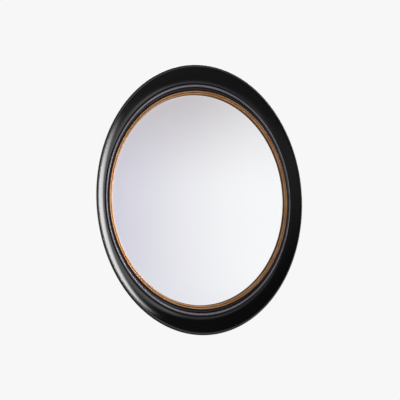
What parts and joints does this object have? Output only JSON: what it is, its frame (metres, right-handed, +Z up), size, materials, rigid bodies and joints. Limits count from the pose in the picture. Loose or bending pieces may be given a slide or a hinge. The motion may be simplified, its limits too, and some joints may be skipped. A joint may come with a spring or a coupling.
{
  "type": "oval wall mirror",
  "caption": "Tall oval wall mirror with a black scooped frame, a reeded gilt slip, bevelled glass, and a backing held by turn buttons with D-ring hangers.",
  "frame": {"origin": "centre of the oval in the plane of the wall, which the bumpers' faces touch", "axes": "+Z up, +X to the right of someone facing the glass, +Y into the wall, so the glass faces -Y"},
  "size_m": [0.606, 0.0425, 0.762],
  "materials": {
    "black_lacquer": "satin black lacquer over wood",
    "gilt": "antique gold leaf over wood",
    "bare_wood": "bare beech",
    "clear_glass": "polished clear glass with a bevelled edge",
    "silvering": "silver coat with grey backing paint",
    "white_foam": "closed-cell foam sheet",
    "hardboard": "brown hardboard",
    "black_rubber": "matte rubber",
    "zinc_screws": "zinc plated",
    "zinc_button": "zinc plated, stamped",
    "nickel_strap": "nickel plated",
    "nickel_ring": "nickel plated wire"
  },
  "bodies": {
    "frame": {"frame_arc_top": "black_lacquer", "frame_arc_right": "black_lacquer", "frame_arc_bottom": "black_lacquer", "frame_arc_left": "black_lacquer", "slip_arc_top": "gilt", "slip_arc_right": "gilt", "slip_arc_bottom": "gilt", "slip_arc_left": "gilt", "joint_spline_upper_right": "bare_wood", "joint_spline_upper_left": "bare_wood", "joint_spline_lower_left": "bare_wood", "joint_spline_lower_right": "bare_wood", "mirror_glass": "clear_glass", "mirror_silvering": "silvering", "foam_sheet": "white_foam", "backing_board": "hardboard", "edge_blocks": "black_rubber", "turn_button_screws": "zinc_screws", "hanger_strap_left": "nickel_strap", "hanger_strap_right": "nickel_strap", "hanger_screws": "zinc_screws", "wall_bumpers": "black_rubber"},
    "turn_button_upper_right": {"turn_button_upper_right": "zinc_button"},
    "turn_button_top": {"turn_button_top": "zinc_button"},
    "turn_button_upper_left": {"turn_button_upper_left": "zinc_button"},
    "turn_button_lower_left": {"turn_button_lower_left": "zinc_button"},
    "turn_button_bottom": {"turn_button_bottom": "zinc_button"},
    "turn_button_lower_right": {"turn_button_lower_right": "zinc_button"},
    "hanger_ring_left": {"hanger_ring_left": "nickel_ring"},
    "hanger_ring_right": {"hanger_ring_right": "nickel_ring"}
  },
  "joints": [
    {"name": "turn_button_upper_right_turn", "type": "hinge", "parent": "frame", "child": "turn_button_upper_right", "pos_m": [0.24162, -0.005, 0.1615], "axis": [0, 1, 0], "continuous": true},
    {"name": "turn_button_top_turn", "type": "hinge", "parent": "frame", "child": "turn_button_top", "pos_m": [0, -0.005, 0.323], "axis": [0, 1, 0], "continuous": true},
    {"name": "turn_button_upper_left_turn", "type": "hinge", "parent": "frame", "child": "turn_button_upper_left", "pos_m": [-0.24162, -0.005, 0.1615], "axis": [0, 1, 0], "continuous": true},
    {"name": "turn_button_lower_left_turn", "type": "hinge", "parent": "frame", "child": "turn_button_lower_left", "pos_m": [-0.24162, -0.005, -0.1615], "axis": [0, 1, 0], "continuous": true},
    {"name": "turn_button_bottom_turn", "type": "hinge", "parent": "frame", "child": "turn_button_bottom", "pos_m": [0, -0.005, -0.323], "axis": [0, 1, 0], "continuous": true},
    {"name": "turn_button_lower_right_turn", "type": "hinge", "parent": "frame", "child": "turn_button_lower_right", "pos_m": [0.24162, -0.005, -0.1615], "axis": [0, 1, 0], "continuous": true},
    {"name": "hanger_ring_left_swing", "type": "hinge", "parent": "frame", "child": "hanger_ring_left", "pos_m": [-0.15, -0.0036, 0.29834], "axis": [-1, 0, 0], "range_deg": [0, 175]},
    {"name": "hanger_ring_right_swing", "type": "hinge", "parent": "frame", "child": "hanger_ring_right", "pos_m": [0.15, -0.0036, 0.29834], "axis": [-1, 0, 0], "range_deg": [0, 175]}
  ]
}
